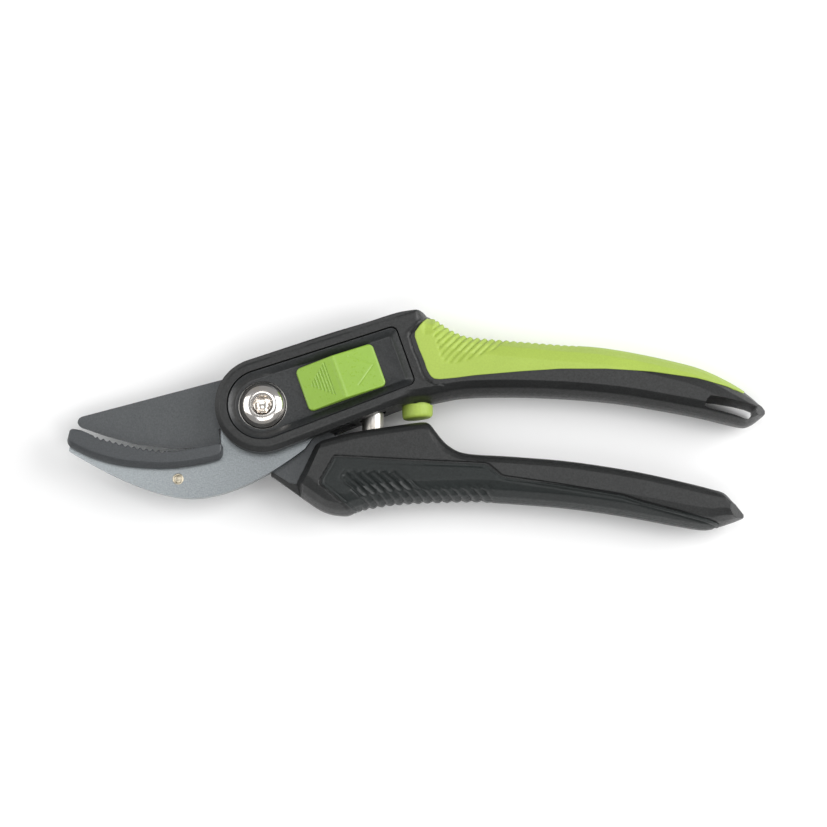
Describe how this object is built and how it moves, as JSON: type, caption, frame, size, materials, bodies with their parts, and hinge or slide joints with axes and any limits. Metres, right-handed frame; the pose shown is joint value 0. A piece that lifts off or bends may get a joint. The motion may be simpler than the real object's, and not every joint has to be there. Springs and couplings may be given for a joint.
{
  "type": "pruning shears",
  "caption": "Bypass pruning shears with a hook jaw, a swinging blade, a thumb lock on the head and curved soft-grip handles.",
  "frame": {"origin": "middle of the underside of the shears lying on their back", "axes": "+X from the jaws to the handle ends, +Y towards the upper handle, +Z through the thickness, out of the face with the lock button"},
  "size_m": [0.2084, 0.0654, 0.0205],
  "materials": {
    "black_nylon": "fine moulded grain, glass-filled",
    "cover_nylon": "fine moulded grain",
    "green_soft": "soft satin, lime green",
    "green_button": "satin gloss, lime green",
    "black_soft": "soft matt",
    "satin_steel": "satin, blasted",
    "coated_steel": "low-friction dark coating",
    "black_strip": "dark coating",
    "rivet_brass": "dull",
    "pin_steel": "zinc plated",
    "chrome_bolt": "bright plated",
    "spring_steel": "bright strip"
  },
  "bodies": {
    "upper_body": {"upper_handle": "black_nylon", "upper_grip": "green_soft", "head_cover": "cover_nylon", "hook_jaw": "satin_steel", "grip_strip": "black_strip", "jaw_rivet": "rivet_brass", "jaw_pins": "pin_steel", "pivot_bolt": "chrome_bolt", "pivot_washer": "pin_steel", "pivot_nut": "pin_steel", "pivot_bush": "pin_steel", "tension_washer": "pin_steel", "detent_spring": "spring_steel", "stop_buffer": "green_soft", "main_spring": "spring_steel"},
    "lower_body": {"lower_handle": "black_nylon", "lower_grip": "black_soft", "cutting_blade": "coated_steel", "blade_pins": "pin_steel"},
    "lock": {"lock_button": "green_button", "lock_slider": "pin_steel", "lock_pin": "pin_steel"}
  },
  "joints": [
    {"name": "handle_pivot", "type": "hinge", "parent": "upper_body", "child": "lower_body", "pos_m": [-0.04595, 0.00405, 0.0083], "axis": [0, 0, -1], "range_deg": [-2, 26], "deforming": ["main_spring"]},
    {"name": "lock_slide", "type": "slide", "parent": "upper_body", "child": "lock", "axis": [0.9426, 0.3338, 0], "range_m": [0, 0.0055]}
  ]
}
